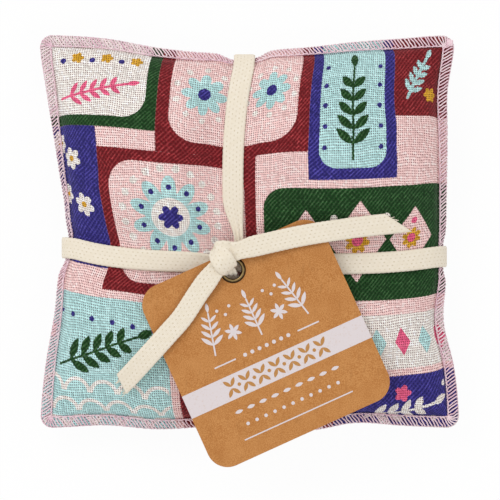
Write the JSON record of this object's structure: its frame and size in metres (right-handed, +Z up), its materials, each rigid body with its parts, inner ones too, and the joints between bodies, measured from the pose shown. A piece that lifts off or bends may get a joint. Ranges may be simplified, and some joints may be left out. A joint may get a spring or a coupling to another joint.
{
  "type": "drawer sachet",
  "caption": "Square linen pouch filled with lavender, overlocked round its edge, tied both ways with herringbone cotton tape that holds a square kraft swing tag by an eyelet.",
  "frame": {"origin": "middle of the whole outline, on the surface that the sachet lies on", "axes": "+Z up out of the front panel, +Y towards the edge above the tag, +X along the band across"},
  "size_m": [0.1278, 0.1316, 0.036],
  "materials": {
    "printed_linen": "plain-weave linen, pale pink ground with a small bright print",
    "dried_lavender": "loose dried buds",
    "overlock_thread": "spun thread, pale pink",
    "cotton_tape": "herringbone weave, undyed",
    "kraft_card": "uncoated kraft card",
    "antique_brass": "antique, darkened"
  },
  "bodies": {
    "sachet": {"front_panel": "printed_linen", "back_panel": "printed_linen", "lavender_filling": "dried_lavender", "needle_thread": "overlock_thread", "upper_looper_thread": "overlock_thread", "lower_looper_thread": "overlock_thread", "overlock_chain_end": "overlock_thread", "tape_across": "cotton_tape", "tape_down": "cotton_tape"},
    "tie": {"tape_knot": "cotton_tape", "tape_strand": "cotton_tape", "tape_tail_right": "cotton_tape", "tape_tail_left": "cotton_tape"},
    "tag": {"tag_card": "kraft_card", "tag_eyelet": "antique_brass"}
  },
  "joints": [
    {"name": "tag_lift", "type": "hinge", "parent": "sachet", "child": "tie", "pos_m": [-0.00975, 0.00417, 0.02695], "axis": [-0.9106, -0.4132, 0], "range_deg": [0, 60]},
    {"name": "tag_swivel", "type": "hinge", "parent": "tie", "child": "tag", "pos_m": [-0.00518, -0.0059, 0.02975], "axis": [0.0083, -0.0182, 0.9998], "range_deg": [-10, 10]}
  ]
}
